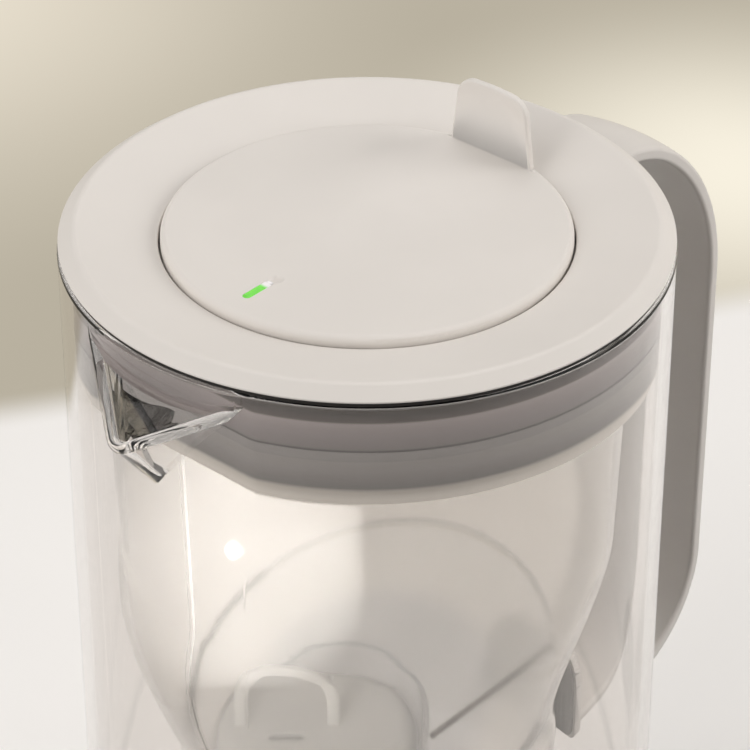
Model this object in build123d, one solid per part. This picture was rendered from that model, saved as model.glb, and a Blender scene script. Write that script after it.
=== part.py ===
from build123d import *
import math
import os

# Water filter pitcher. Millimetres, +Z up, origin on the jug's axis at the face it stands on.
# +X points to the handle and -X to the spout.

# Glass jug
jug_r = 75.3
glass_wall = 2.8
jug_height = 243.8
base_thickness = 7.0
base_round = 7.0
cavity_round = 9.0
rim_round = 1.1

# Spout, set on a plane that slopes down and out from the glass
spout_drop = 7.3
spout_slope = 37.2
spout_reach = 18.4
spout_half_angle = 47.6
spout_root_half = 26.0
spout_back = 6.0
spout_tip_r = 4.8
spout_depth = 19.7
spout_foot_half = 4.2
spout_foot_r = 2.2
spout_wall = 2.2
lip_r = 1.5

# Handle strap and its two glass pads
handle_stand = 54.7
handle_width = 28.0
strap_thickness = 3.5
strap_swell = 1.3
strap_edge_round = 1.2
upper_bend_r = 60.0
upper_bend_turn = 50.0
crown_bend_r = 40.0
lower_bend_r = 35.0
strap_top_below_rim = 10.0
strap_low_z = 49.0
foot_low_margin = 1.5
pad_thickness = 0.8
foot_thickness = 3.0
upper_foot_height = 20.0
lower_foot_height = 33.0
foot_width = 33.0
foot_arch_r = 14.0
pad_margin = 1.0

# Funnel
flange_thickness = 1.2
flange_inset = 0.9
collar_gap = 0.4
collar_wall = 1.8
collar_height = 28.5
collar_flat_depth = 4.6
collar_corner_r = 5.0
groove_drop = 14.6
groove_height = 2.6
groove_depth = 0.9
collar_seal_proud = 0.1
step_height = 4.0
step_depth = 0.9
shelf_thickness = 1.8
body_gap = 7.1
body_draw_in = 16.0
body_taper = 0.03
skirt_taper = 0.04
body_lean = 5.6
body_drop = 156.0
shoulder_top_drop = 56.0
shoulder_low_drop = 121.0
body_sections = 11
funnel_wall = 1.8
floor_drop = 137.5
floor_slope = 20.3
floor_thickness = 1.8
well_r = 27.9
well_clearance = 1.1
well_wall = 1.8
seat_drop = 158.0
sleeve_length = 27.6
sleeve_r = 26.4
seal_ring_thickness = 1.2

# Cartridge
cartridge_gap = 0.4
cartridge_flange_height = 2.8
cartridge_body_height = 45.0
cartridge_body_r = 25.6
cartridge_body_low_r = 23.4
cartridge_wall = 1.4
cap_height = 13.0
cap_r = 26.4
cap_round = 5.0
cap_wall = 1.4
cap_slots = 12
cap_slot_width = 2.4
cap_slot_height = 6.4
cap_slot_low = 1.0
cap_vent_r = 1.3
cap_vent_circle = 19.5
cap_vent_half = 2.9
cap_mouth_length = 10.0
cap_mouth_width = 2.4
cap_mouth_setback = 6.0
cartridge_turn = 41.5
pull_ring_half = 14.0
pull_ring_leg = 6.5
pull_ring_bar = 3.4
pull_ring_thickness = 3.0
pull_ring_offset = 8.0
pull_ring_edge_round = 0.8
mesh_thickness = 0.6
carbon_height = 20.0
outlet_slots = 10
outlet_slot_width = 2.2
outlet_slot_length = 12.0
outlet_slot_circle = 12.6

# Lid
lid_inset = 0.3
lid_edge_height = 0.5
lid_crown = 3.3
lid_crown_width = 3.8
lid_skin = 2.0
dish_width = 24.2
dish_drop = 1.0
dish_ledge_drop = 5.0
ledge_thickness = 3.0
ledge_width = 4.8
throat_wall = 1.8
throat_drop = 22.0
plug_gap = 1.7
plug_wall = 2.0
plug_drop = 22.0
web_thickness = 1.8
lid_seal_drop = 12.0
lid_seal_height = 2.4
lid_seal_gap = 0.3
lid_groove_depth = 1.0
lid_screw_setback = 8.6
lid_screw_count = 6
lid_screw_r = 1.1
lid_screw_depth = 4.4
lid_screw_head_r = 2.2
lid_screw_head_height = 1.2
lid_boss_r = 3.0

# Flap, its thumb tab and its hinge
flap_gap = 0.5
flap_top = 1.4
flap_edge_round = 1.6
flap_skin = 2.0
flap_rim_depth = 2.0
flap_rim_wall = 1.8
tab_half = 12.9
tab_top_half = 10.6
tab_height = 17.9
tab_crown = 0.8
tab_corner_r = 5.6
tab_thickness = 2.0
tab_setback = 1.9
tab_edge_round = 0.6
hinge_offset = 1.7
hinge_drop = 2.0
hinge_pin_r = 1.0
hinge_play = 0.05
hinge_eye_r = 2.1
hinge_eye_half = 3.6
hinge_side_gap = 0.3
hinge_ear = 2.0
hinge_ear_r = 1.7
hinge_notch_margin = 0.3
hinge_notch_length = 6.0
capsule_gap = 1.8
capsule_depth = 8.4
capsule_wall = 1.6
flap_flange_thickness = 1.8
flap_seal_inset = 1.3
flap_seal_lap = 1.4

# Indicator light and the electronics in the flap
light_setback = 11.5
light_length = 9.6
light_width = 2.3
light_sink = 0.1
light_play = 0.04
light_stem_length = 6.0
light_stem_depth = 1.6
dimple_offset = 6.4
dimple_r = 2.1
dimple_depth = 0.9
dimple_foot_r = 0.6
led_length = 3.2
led_width = 1.8
led_height = 1.2
board_thickness = 1.2
board_overhang = 1.2
board_length = 55.0
board_half = 10.4
board_post_r = 1.8
board_post_places = (10.0, 52.8)
board_post_y = 8.0
cell_setback = 17.0
cell_r = 10.0
cell_thickness = 3.2
cell_edge_round = 0.3
contact_width = 6.0
contact_thickness = 0.3
door_r = 13.0
door_play = 0.2
door_lip = 1.8
door_lip_thickness = 0.8
door_slot_length = 12.0
door_slot_width = 2.0
door_slot_depth = 0.7
door_seal_thickness = 0.6
flap_screw_setback = 14.5
flap_screw_r = 0.9
flap_screw_head_r = 1.9
flap_screw_head_height = 1.1
flap_screw_head_play = 0.1
flap_screw_length = 4.8
flap_boss_r = 2.8
screw_angles = (45, 135, 225, 315)

# Worked out from the sizes above
jug_inner_r = jug_r - glass_wall
lid_z = jug_height + flange_thickness
collar_r = jug_inner_r - collar_gap
collar_inner_r = collar_r - collar_wall
collar_flat = collar_r - collar_flat_depth
body_top_r = collar_r - body_gap
body_low_r = body_top_r - body_draw_in
well_x = well_r + well_clearance - body_low_r
handle_reach = jug_r + handle_stand
lid_r = jug_r - lid_inset
lid_crown_r = lid_r - lid_crown_width
dish_r = lid_r - dish_width
inlet_r = dish_r - ledge_width
flap_r = dish_r - flap_gap
tab_back_x = flap_r - tab_setback
hinge_x = flap_r + hinge_offset
capsule_r = inlet_r - capsule_gap
flap_seal_inner_r = inlet_r - flap_seal_inset
flap_seal_outer_r = inlet_r + flap_seal_lap
flap_screw_circle = capsule_r - flap_screw_setback
light_x = light_setback - flap_r
dimple_x = light_x + dimple_offset
board_front_x = light_x - board_overhang
board_back_x = board_front_x + board_length
cell_x = board_back_x - cell_setback
collar_low_z = jug_height - collar_height
groove_high_z = lid_z - groove_drop
groove_low_z = groove_high_z - groove_height
body_top_z = collar_low_z
shoulder_z = body_top_z - shoulder_top_drop
seat_z = lid_z - seat_drop
sleeve_low_z = seat_z - sleeve_length
flap_top_z = lid_z + flap_top
flap_skin_z = flap_top_z - flap_skin
flap_rim_z = flap_skin_z - flap_rim_depth
ledge_z = lid_z - dish_ledge_drop
web_z = ledge_z - ledge_thickness
capsule_inner_z = flap_skin_z - flap_flange_thickness - capsule_depth + capsule_wall
capsule_low_z = capsule_inner_z - capsule_wall
cell_z = capsule_inner_z + door_lip_thickness
board_z = cell_z + cell_thickness + contact_thickness
hinge_z = lid_z - hinge_drop
plug_r = collar_inner_r - plug_gap
plug_flat = collar_flat - collar_wall - plug_gap
lid_screw_circle = plug_r - lid_screw_setback
notch_half = hinge_eye_half + hinge_side_gap + hinge_ear + hinge_notch_margin

BOTTOM = (Align.CENTER, Align.CENTER, Align.MIN)


def disc(radius, low, high, x=0.0):
    """Upright cylinder between two heights."""
    return Pos(x, 0, low) * Cylinder(radius, high - low, align=BOTTOM)


def ring(outer, inner, low, high, x=0.0):
    """Upright ring between two heights."""
    return disc(outer, low, high, x) - disc(inner, low, high, x)


def block(x0, x1, half, low, high):
    """Upright box, symmetrical about the plane through spout and handle."""
    corner = Pos((x0 + x1) / 2, 0, low)
    return corner * Box(x1 - x0, 2 * half, high - low, align=BOTTOM)


def turned(points):
    """Solid turned about the jug's axis from an outline of radius and height."""
    return revolve(Plane.XZ * make_face(Polyline(*points, close=True)), Axis.Z)


def flatted(radius, flat, low, high):
    """Upright round prism with a flat towards the spout and rounded corners beside it."""
    plan = Circle(radius) - Pos(-flat - radius, 0) * Rectangle(2 * radius, 3 * radius)
    corners = [v for v in plan.vertices() if v.X < 0]
    plan = fillet(corners, collar_corner_r)
    return extrude(Pos(0, 0, low) * plan, amount=high - low)


def flatted_ring(outer, outer_flat, wall, low, high):
    """Ring with one even wall between two flatted outlines."""
    inner = flatted(outer - wall, outer_flat - wall, low, high)
    return flatted(outer, outer_flat, low, high) - inner


slope = math.radians(spout_slope)
spout_plane = Plane(
    origin=(-jug_inner_r, 0, jug_height - spout_drop),
    x_dir=(-math.cos(slope), 0, -math.sin(slope)),
    z_dir=(-math.sin(slope), 0, math.cos(slope)),
)
half_angle = math.radians(spout_half_angle)


def spout_outline(depth, wall):
    """Section of the spout's trough at a depth under its lip, taken in by a wall."""
    share = depth / spout_depth
    half = spout_root_half + (spout_foot_half - spout_root_half) * share - wall
    tip_r = (spout_tip_r + (spout_foot_r - spout_tip_r) * share) * (1 - wall / (2 * spout_tip_r))
    apex = spout_reach + spout_tip_r * (1 / math.sin(half_angle) - 1)
    apex = apex - wall / math.sin(half_angle) - share * spout_foot_r / 2
    root = apex - half / math.tan(half_angle)
    back = root - spout_back
    outline = Polyline((back, -half), (root, -half), (apex, 0), (root, half), (back, half), close=True)
    face = make_face(outline)
    tip = face.vertices().sort_by(Axis.X)[-1]
    return spout_plane.offset(-depth) * fillet(tip, tip_r)


def spout_form(wall):
    """Trough of the spout, from its lip down to its foot."""
    foot = spout_depth - wall
    return loft([spout_outline(0, wall), spout_outline(foot, wall)], ruled=True)


def glass_jug():
    """Blown glass cylinder with a heavy base and a spout pulled out under a closed rim."""
    body = disc(jug_r, 0, jug_height)
    body = fillet(body.edges().group_by(Axis.Z)[0], base_round)
    cavity = disc(jug_inner_r, base_thickness, jug_height)
    cavity = fillet(cavity.edges().group_by(Axis.Z)[0], cavity_round)
    apex = spout_reach + spout_tip_r * (1 / math.sin(half_angle) - 1)
    lip_apex = apex - spout_wall / 2 / math.sin(half_angle)
    lip_half = spout_root_half - spout_wall / 2
    root = lip_apex - lip_half / math.tan(half_angle)
    lip_path = spout_plane * FilletPolyline(
        (root, lip_half), (lip_apex, 0), (root, -lip_half), radius=spout_tip_r - spout_wall / 2
    )
    lip = sweep(Plane(origin=lip_path @ 0, z_dir=lip_path % 0) * Circle(lip_r), path=lip_path)
    shell = body - cavity
    shell = fillet(shell.edges().group_by(Axis.Z)[-1], rim_round)
    return shell + (spout_form(0) + lip - cavity) - spout_form(spout_wall)


def strap_path():
    """Line along the strap's outer face, from its top end round to its low end."""
    upper_centre = (handle_reach - upper_bend_r, upper_centre_z)
    crown_centre = (
        upper_centre[0] + (upper_bend_r - crown_bend_r) * math.cos(math.radians(upper_bend_turn)),
        upper_centre[1] + (upper_bend_r - crown_bend_r) * math.sin(math.radians(upper_bend_turn)),
    )
    low_centre = (handle_reach - lower_bend_r, strap_low_z + lower_bend_r)
    crown = CenterArc(crown_centre, crown_bend_r, 90, upper_bend_turn - 90)
    upper = CenterArc(upper_centre, upper_bend_r, upper_bend_turn, -upper_bend_turn)
    back = Line(upper @ 1, (handle_reach, low_centre[1]))
    lower = CenterArc(low_centre, lower_bend_r, 0, -90)
    top_end = Line((jug_r / 2, strap_top_z), crown @ 0)
    low_end = Line(lower @ 1, (jug_r / 2, strap_low_z))
    return Plane.XZ * Wire((top_end + crown + upper + back + lower + low_end).edges())


strap_top_z = jug_height - strap_top_below_rim
upper_rise = (upper_bend_r - crown_bend_r) * math.sin(math.radians(upper_bend_turn))
upper_centre_z = strap_top_z - crown_bend_r - upper_rise
pad_r = jug_r + pad_thickness
upper_foot_z = strap_top_z - upper_foot_height + foot_low_margin
lower_foot_z = strap_low_z - foot_low_margin


def foot_outline(z, height, arched, margin):
    """Upright outline of a foot as seen from the handle, with an arched top where it is the low one."""
    half = foot_width / 2 - margin
    plan = Pos(0, z + height / 2) * Rectangle(2 * half, height - 2 * margin)
    top = plan.vertices().group_by(Axis.Y)[-1]
    low = plan.vertices().group_by(Axis.Y)[0]
    if arched:
        plan = fillet(top, foot_arch_r - margin)
        low = plan.vertices().group_by(Axis.Y)[0]
        return fillet(low, foot_thickness)
    return fillet([*top, *low], foot_thickness)


def foot_plate(z, height, arched, inner, outer, margin):
    """Plate curved to the glass, cut to a foot's outline."""
    outline = Plane.YZ * foot_outline(z, height, arched, margin)
    prism = extrude(outline, amount=2 * jug_r)
    return prism & ring(outer, inner, z - height, z + 2 * height)


def handle_strap():
    """Moulded strap, flat inside and swollen outside, with feet that are bonded to the glass."""
    half = handle_width / 2
    section = make_face(
        [
            ThreePointArc((-half, 0), (0, strap_swell), (half, 0)),
            Polyline((half, 0), (half, -strap_thickness), (-half, -strap_thickness), (-half, 0)),
        ]
    )
    section = fillet(section.vertices(), strap_edge_round)
    start = Plane(origin=(jug_r / 2, 0, strap_top_z), x_dir=(0, 1, 0), z_dir=(1, 0, 0))
    strap = sweep(start * section, path=strap_path())
    outer_r = pad_r + foot_thickness
    strap += foot_plate(upper_foot_z, upper_foot_height, False, pad_r, outer_r, 0)
    strap += foot_plate(lower_foot_z, lower_foot_height, True, pad_r, outer_r, 0)
    return strap - disc(pad_r, 0, jug_height)


def funnel_form(inset):
    """Body of the funnel as one lofted form: round at the top, drawn in and shifted at its shoulder."""
    sections = []
    for step in range(body_sections):
        drop = body_drop * step / (body_sections - 1)
        share = (drop - shoulder_top_drop) / (shoulder_low_drop - shoulder_top_drop)
        share = min(max(share, 0.0), 1.0)
        blend = share * share * (3 - 2 * share)
        cup_r = body_top_r - body_taper * drop
        skirt_r = body_low_r + skirt_taper * (body_drop - drop)
        radius = cup_r + (skirt_r - cup_r) * blend
        lean = -4 * body_lean * share * (1 - share)
        sections.append(Pos(lean, 0, body_top_z - drop) * Circle(radius - inset))
    return loft(sections)


def funnel():
    """Clear moulded cup of the reservoir, from the collar down to its shoulder."""
    wall = funnel_form(0) - funnel_form(funnel_wall)
    return wall & disc(jug_r, shoulder_z, body_top_z)


def funnel_skirt():
    """Drawn-in lower wall, welded on under the cup, down to the funnel's foot."""
    wall = funnel_form(0) - funnel_form(funnel_wall)
    return wall - disc(jug_r, shoulder_z, body_top_z)


def funnel_floor():
    """Sloped floor welded inside the skirt, with the well and the sleeve that take the cartridge."""
    inner = funnel_form(funnel_wall)
    tilt = math.radians(floor_slope)
    floor_plane = Plane(origin=(0, 0, lid_z - floor_drop), z_dir=(-math.sin(tilt), 0, math.cos(tilt)))
    slab = extrude(floor_plane * Rectangle(4 * jug_r, 4 * jug_r), amount=-floor_thickness) & inner
    above = extrude(floor_plane * Rectangle(4 * jug_r, 4 * jug_r), amount=jug_height)
    well = disc(well_r + well_wall, seat_z - well_wall, lid_z - floor_drop + well_r, well_x)
    well += disc(sleeve_r + well_wall, sleeve_low_z, seat_z, well_x)
    bore = disc(well_r, seat_z, lid_z, well_x) + disc(sleeve_r, sleeve_low_z, seat_z, well_x)
    return slab + ((well & inner) - above) - bore


def funnel_collar():
    """Ribbed ring welded on the funnel's body: it hangs on the jug's rim and takes the lid's plug."""
    collar = flatted(collar_r, collar_flat, collar_low_z, jug_height)
    groove = flatted_ring(collar_r, collar_flat, groove_depth, groove_low_z, groove_high_z)
    step = flatted_ring(collar_r, collar_flat, step_depth, collar_low_z, collar_low_z + step_height)
    hollow = flatted(collar_inner_r, collar_flat - collar_wall, collar_low_z + shelf_thickness, lid_z)
    mouth = disc(body_top_r - funnel_wall, collar_low_z, lid_z)
    collar = collar - groove - step + disc(jug_r - flange_inset, jug_height, lid_z)
    return collar - hollow - mouth


def collar_seal():
    """Soft ring in the collar's groove, which steadies the funnel in the glass."""
    seal_wall = groove_depth + collar_seal_proud
    outer = collar_r + collar_seal_proud
    outer_flat = collar_flat + collar_seal_proud
    return flatted_ring(outer, outer_flat, seal_wall, groove_low_z, groove_high_z)


seal_top_z = seat_z + seal_ring_thickness
cartridge_top_z = seal_top_z + cartridge_flange_height
cartridge_low_z = seal_top_z - cartridge_body_height
cartridge_flange_r = well_r - cartridge_gap
cartridge_place = Pos(well_x, 0, cartridge_top_z) * Rot(0, 0, cartridge_turn)
taper = (cartridge_body_r - cartridge_body_low_r) / cartridge_body_height


def cartridge_inner_r(z):
    """Inside radius of the tapered cartridge body at a height."""
    return cartridge_body_r - cartridge_wall - taper * (seal_top_z - z)


def bed(low, high):
    """Filling that takes up the tapered body between two heights."""
    cone = Cone(cartridge_inner_r(low), cartridge_inner_r(high), high - low, align=BOTTOM)
    return Pos(well_x, 0, low) * cone


def cartridge_body():
    """Tapered plastic can with a flange on top and outlet slots in its base."""
    can = Cone(cartridge_body_low_r, cartridge_body_r, cartridge_body_height, align=BOTTOM)
    body = Pos(well_x, 0, cartridge_low_z) * can
    body += disc(cartridge_flange_r, seal_top_z, cartridge_top_z, well_x)
    body = body - bed(cartridge_low_z + cartridge_wall, seal_top_z)
    body = body - disc(cartridge_inner_r(seal_top_z), seal_top_z, cartridge_top_z, well_x)
    slot = Pos(outlet_slot_circle, 0) * SlotOverall(outlet_slot_length, outlet_slot_width)
    for index in range(outlet_slots):
        outlet = extrude(Rot(0, 0, 360 / outlet_slots * index) * slot, amount=3 * cartridge_wall)
        body = body - Pos(well_x, 0, cartridge_low_z - cartridge_wall) * outlet
    return body


def cap_form(wall):
    """Domed form of the cap, standing on the cartridge's flange, taken in by a wall."""
    dome = Cylinder(cap_r - wall, cap_height - wall, align=BOTTOM)
    return fillet(dome.edges().group_by(Axis.Z)[-1], cap_round - wall)


def cartridge_cap():
    """Domed cap with inlet slots round its side, and a mouth and two air vents on top."""
    cap = cap_form(0) - cap_form(cap_wall)
    slot = block(0, 2 * cap_r, cap_slot_width / 2, cap_slot_low, cap_slot_low + cap_slot_height)
    for index in range(cap_slots):
        cap = cap - Rot(0, 0, 360 / cap_slots * (index + 0.5)) * slot
    for side in (-1, 1):
        vent = Cylinder(cap_vent_r, cap_height, align=BOTTOM)
        cap = cap - Pos(cap_vent_circle, side * cap_vent_half, 0) * vent
    mouth = SlotOverall(cap_mouth_length, cap_mouth_width, rotation=90)
    cap = cap - extrude(Pos(-cap_mouth_setback, pull_ring_offset) * mouth, amount=cap_height)
    return cartridge_place * cap


def cartridge_pull_ring():
    """Standing arch on the cap by which the cartridge is pulled out."""
    inner_half = pull_ring_half - pull_ring_bar
    middle = Pos(0, cap_height + pull_ring_leg)
    legs = Pos(0, cap_height) * Rectangle(2 * pull_ring_half, 2 * pull_ring_leg)
    hole = Pos(0, cap_height) * Rectangle(2 * inner_half, 2 * pull_ring_leg)
    arch = middle * Circle(pull_ring_half) + legs - middle * Circle(inner_half) - hole
    stands = Plane(origin=(pull_ring_thickness / 2, pull_ring_offset, 0), x_dir=(0, 1, 0), z_dir=(1, 0, 0))
    bar = extrude(stands * arch, amount=-pull_ring_thickness)
    bar = fillet(bar.edges().filter_by(GeomType.CIRCLE), pull_ring_edge_round)
    return cartridge_place * (bar - cap_form(0))


def cartridge_seal():
    """Flat soft ring between the cartridge's flange and its seat in the funnel."""
    return ring(cartridge_flange_r, cartridge_body_r, seat_z, seal_top_z, well_x)


def cartridge_top_mesh():
    """Fine screen that keeps the granules in under the cap."""
    low = seal_top_z - mesh_thickness
    return disc(cartridge_inner_r(low), low, seal_top_z, well_x)


def cartridge_bottom_mesh():
    """Fine screen over the outlet slots."""
    low = cartridge_low_z + cartridge_wall
    return disc(cartridge_inner_r(low), low, low + mesh_thickness, well_x)


def carbon_granulate():
    """Upper bed of active carbon."""
    high = seal_top_z - mesh_thickness
    return bed(high - carbon_height, high)


def resin_beads():
    """Lower bed of ion exchange beads."""
    high = seal_top_z - mesh_thickness - carbon_height
    return bed(cartridge_low_z + cartridge_wall + mesh_thickness, high)


def hinge_notch():
    """Space behind the flap's disc for its hinge."""
    low = web_z
    start = flap_r - flap_rim_wall
    return block(start, hinge_x + hinge_notch_length - hinge_eye_r, notch_half, low, lid_z + lid_crown)


def lid_screw_places():
    """Places of the lid's screws and bosses, clear of the hinge and the spout flat."""
    angles = [360 / lid_screw_count * (index + 0.5) for index in range(lid_screw_count)]
    return [Rot(0, 0, angle) * Pos(lid_screw_circle, 0, 0) for angle in angles]


def lid_cover():
    """Dished top of the lid with a well for the flap and a ledge round the inlet."""
    crown_inner = lid_crown - lid_skin
    well_outer_r = dish_r + lid_skin
    cover = turned([
        (lid_r - lid_skin, lid_z),
        (lid_r, lid_z),
        (lid_r, lid_z + lid_edge_height),
        (lid_crown_r, lid_z + lid_crown),
        (dish_r, lid_z - dish_drop),
        (dish_r, ledge_z),
        (inlet_r, ledge_z),
        (inlet_r, web_z),
        (well_outer_r, web_z),
        (well_outer_r, lid_z - dish_drop - lid_skin),
        (lid_crown_r - lid_skin / 2, lid_z + crown_inner),
    ])
    bosses = Part()
    for place in lid_screw_places():
        bosses += place * Pos(0, 0, web_z) * Cylinder(lid_boss_r, lid_z - web_z, align=BOTTOM)
    under = turned([
        (0, web_z),
        (lid_crown_r - lid_skin / 2, web_z),
        (lid_crown_r - lid_skin / 2, lid_z + crown_inner),
        (well_outer_r, lid_z - dish_drop - lid_skin),
        (0, lid_z - dish_drop - lid_skin),
    ])
    cover += bosses & under
    for place in lid_screw_places():
        cover -= place * Pos(0, 0, web_z) * Cylinder(lid_screw_r, lid_screw_depth, align=BOTTOM)
    return cover - hinge_notch()


def lid_frame():
    """Under part of the lid: plug that fits the collar, web, inlet throat and hinge ears."""
    plug_low_z = lid_z - plug_drop
    plug = flatted_ring(plug_r, plug_flat, plug_wall, plug_low_z, lid_z - lid_skin / 2)
    web_low_z = web_z - web_thickness
    inlet = disc(inlet_r, lid_z - throat_drop, web_z)
    web = flatted(plug_r, plug_flat, web_low_z, web_z) - inlet
    throat = ring(inlet_r + throat_wall, inlet_r, lid_z - throat_drop, web_z)
    seal_z = lid_z - lid_seal_drop
    beyond = lid_groove_depth
    cut_wall = lid_groove_depth + beyond
    groove = flatted_ring(plug_r + beyond, plug_flat + beyond, cut_wall, seal_z, seal_z + lid_seal_height)
    frame = plug + web + throat - groove
    for place in lid_screw_places():
        frame -= place * Pos(0, 0, web_low_z) * Cylinder(lid_screw_r, web_thickness, align=BOTTOM)
    for side in (-1, 1):
        centre = side * (hinge_eye_half + hinge_side_gap + hinge_ear / 2)
        ear = Pos(hinge_x, centre, web_z) * Box(2 * hinge_ear_r, hinge_ear, hinge_z - web_z, align=BOTTOM)
        eye = Pos(hinge_x, centre, hinge_z) * Rot(90, 0, 0) * Cylinder(hinge_ear_r, hinge_ear)
        frame += ear + eye
    pin_bore = Pos(hinge_x, 0, hinge_z) * Rot(90, 0, 0) * Cylinder(hinge_pin_r, 4 * notch_half)
    return frame - pin_bore


def lid_seal():
    """Soft ring in the plug's groove, which holds the lid in the collar."""
    seal_z = lid_z - lid_seal_drop
    outer = collar_inner_r - lid_seal_gap
    outer_flat = collar_flat - collar_wall - lid_seal_gap
    seal_wall = outer - plug_r + lid_groove_depth
    return flatted_ring(outer, outer_flat, seal_wall, seal_z, seal_z + lid_seal_height)


def lid_screws():
    """Screws that hold the frame up against the cover's bosses."""
    web_low_z = web_z - web_thickness
    screws = []
    for place in lid_screw_places():
        shank = Cylinder(lid_screw_r, web_thickness + lid_screw_depth, align=BOTTOM)
        head = Cylinder(lid_screw_head_r, lid_screw_head_height, align=BOTTOM)
        head = Pos(0, 0, -lid_screw_head_height) * head
        screws.append(place * Pos(0, 0, web_low_z) * (shank + head))
    return Compound(children=[s.solid() for s in screws])


def hinge_pin():
    """Steel pin that the flap swings on, held in the frame's two ears."""
    length = 2 * (hinge_eye_half + hinge_side_gap + hinge_ear)
    return Pos(hinge_x, 0, hinge_z) * Rot(90, 0, 0) * Cylinder(hinge_pin_r, length)


def thumb_tab():
    """Fin that stands at the disc's edge and is pressed back to open the flap."""
    top_mid = tab_height + tab_crown
    outline = make_face(
        [
            Line((-tab_half, 0), (tab_half, 0)),
            Line((tab_half, 0), (tab_top_half, tab_height)),
            ThreePointArc((tab_top_half, tab_height), (0, top_mid), (-tab_top_half, tab_height)),
            Line((-tab_top_half, tab_height), (-tab_half, 0)),
        ]
    )
    outline = fillet(outline.vertices().group_by(Axis.Y)[-1], tab_corner_r)
    plane = Plane(origin=(tab_back_x, 0, flap_top_z), x_dir=(0, 1, 0), z_dir=(1, 0, 0))
    tab = extrude(plane * outline, amount=-tab_thickness)
    upper = [e for e in tab.edges() if e.center().Z > flap_top_z + tab_edge_round]
    rounded = [e for e in upper if abs(e.center().X - tab_back_x + tab_thickness / 2) > tab_thickness / 4]
    return fillet(rounded, tab_edge_round)


def flap_screw_places():
    """Places of the flap's screws and bosses."""
    return [Rot(0, 0, angle) * Pos(flap_screw_circle, 0, 0) for angle in screw_angles]


def light_slot(play, low, high, length):
    """Slot-shaped prism of the indicator light."""
    plan = Pos(light_x, 0, low) * SlotOverall(length - 2 * play, light_width - 2 * play)
    return extrude(plan, amount=high - low)


def flap_cover():
    """Round disc with a shallow rim, thumb tab, hinge eye, light slot and screw bosses."""
    top = disc(flap_r, flap_rim_z, flap_top_z)
    top = fillet(top.edges().group_by(Axis.Z)[-1], flap_edge_round)
    cover = top - disc(flap_r - flap_rim_wall, flap_rim_z, flap_skin_z) + thumb_tab()
    for place in flap_screw_places():
        boss = Cylinder(flap_boss_r, flap_skin_z - capsule_inner_z, align=BOTTOM)
        pilot = Cylinder(flap_screw_r, flap_skin_z - capsule_inner_z, align=BOTTOM)
        cover += place * Pos(0, 0, capsule_inner_z) * (boss - pilot)
    eye = Pos(hinge_x, 0, hinge_z) * Rot(90, 0, 0) * Cylinder(hinge_eye_r, 2 * hinge_eye_half)
    arm = block(flap_r - flap_rim_wall, hinge_x, hinge_eye_half, flap_rim_z, flap_skin_z)
    cover += eye + arm
    bore = Cylinder(hinge_pin_r + hinge_play, 4 * hinge_eye_half)
    cover -= Pos(hinge_x, 0, hinge_z) * Rot(90, 0, 0) * bore
    cover -= light_slot(0, flap_skin_z, flap_top_z, light_length)
    dimple = Cone(dimple_foot_r, dimple_r, dimple_depth, align=BOTTOM)
    return cover - Pos(dimple_x, 0, flap_top_z - dimple_depth) * dimple


def flap_base():
    """Cup under the disc that houses the electronics, with a flange that carries the seal."""
    flange_low_z = flap_skin_z - flap_flange_thickness
    base = disc(flap_r - flap_rim_wall, flange_low_z, flap_skin_z)
    base += disc(capsule_r, capsule_low_z, flap_skin_z)
    base = fillet(base.edges().group_by(Axis.Z)[0], capsule_wall)
    base -= disc(capsule_r - capsule_wall, capsule_inner_z, flap_skin_z)
    base -= disc(door_r, capsule_low_z, capsule_inner_z, cell_x)
    post = Cylinder(board_post_r, board_z - capsule_inner_z, align=BOTTOM)
    for place in board_post_places:
        for side in (-1, 1):
            base += Pos(board_front_x + place, side * board_post_y, capsule_inner_z) * post
    for place in flap_screw_places():
        base -= place * Pos(0, 0, capsule_low_z) * Cylinder(flap_screw_r, capsule_wall, align=BOTTOM)
        recess = Cylinder(flap_screw_head_r, flap_screw_head_height, align=BOTTOM)
        base -= place * Pos(0, 0, capsule_low_z) * recess
    return base


def flap_seal():
    """Soft ring under the flap's flange that closes on the ledge."""
    return ring(flap_seal_outer_r, flap_seal_inner_r, ledge_z, flap_skin_z - flap_flange_thickness)


def light_guide():
    """Clear green window in the slot, with a stem that reaches down to the light."""
    window = light_slot(light_play, flap_skin_z, flap_top_z - light_sink, light_length)
    shift = (light_length - light_stem_length) / 2
    stem_low_z = flap_skin_z - light_stem_depth
    stem = Pos(shift, 0, 0) * light_slot(light_play, stem_low_z, flap_skin_z, light_stem_length)
    return window + stem


def indicator_led():
    """Light emitting diode on the board under the light guide's stem."""
    x = light_x + (light_length - light_stem_length) / 2
    low = board_z + board_thickness
    return block(x - led_length / 2, x + led_length / 2, led_width / 2, low, low + led_height)


def circuit_board():
    """Board that carries the light and the timer."""
    return block(board_front_x, board_back_x, board_half, board_z, board_z + board_thickness)


def coin_cell():
    """Lithium coin cell in its place over the battery door."""
    cell = disc(cell_r, cell_z, cell_z + cell_thickness, cell_x)
    rims = cell.edges().filter_by(GeomType.CIRCLE)
    return fillet(rims, cell_edge_round)


def battery_contact():
    """Spring strip between the board and the top of the cell."""
    low = board_z - contact_thickness
    return block(cell_x - cell_r / 2, cell_x + cell_r / 2, contact_width / 2, low, board_z)


def battery_door():
    """Round door under the flap with a slot for a coin."""
    door = disc(door_r - door_play, capsule_low_z, capsule_inner_z - door_seal_thickness, cell_x)
    door += disc(door_r - door_lip, capsule_low_z, cell_z, cell_x)
    slot = block(
        cell_x - door_slot_length / 2,
        cell_x + door_slot_length / 2,
        door_slot_width / 2,
        capsule_low_z,
        capsule_low_z + door_slot_depth,
    )
    return door - slot


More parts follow.
